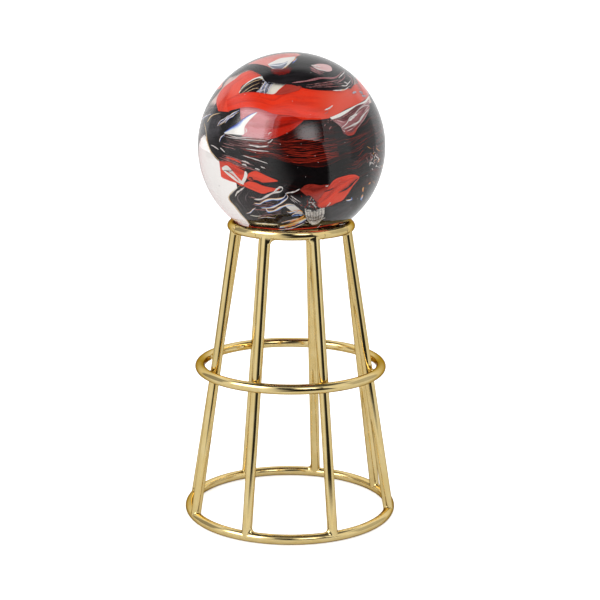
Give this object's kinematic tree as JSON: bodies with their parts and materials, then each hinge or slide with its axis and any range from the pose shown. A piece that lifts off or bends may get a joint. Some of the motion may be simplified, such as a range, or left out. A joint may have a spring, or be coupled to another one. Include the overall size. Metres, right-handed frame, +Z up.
{
  "type": "crystal orb with stand",
  "caption": "Solid glass orb with red and black inclusions, resting on a tapered round stand of gold-coloured wire rings and legs.",
  "frame": {"origin": "on the surface that the stand stands on, at the centre of the base ring", "axes": "+Z up through the orb; the picture looks along +Y, with +X to its right"},
  "size_m": [0.0922, 0.0922, 0.2],
  "materials": {
    "glass": "clear polished glass with red and black glass sealed in it",
    "gold_wire": "polished gold plating"
  },
  "bodies": {
    "root": {"crystal_orb": "glass", "base_ring": "gold_wire", "middle_ring": "gold_wire", "top_ring": "gold_wire", "leg_1": "gold_wire", "leg_2": "gold_wire", "leg_3": "gold_wire", "leg_4": "gold_wire", "leg_5": "gold_wire", "leg_6": "gold_wire", "leg_7": "gold_wire", "leg_8": "gold_wire"}
  },
  "joints": []
}
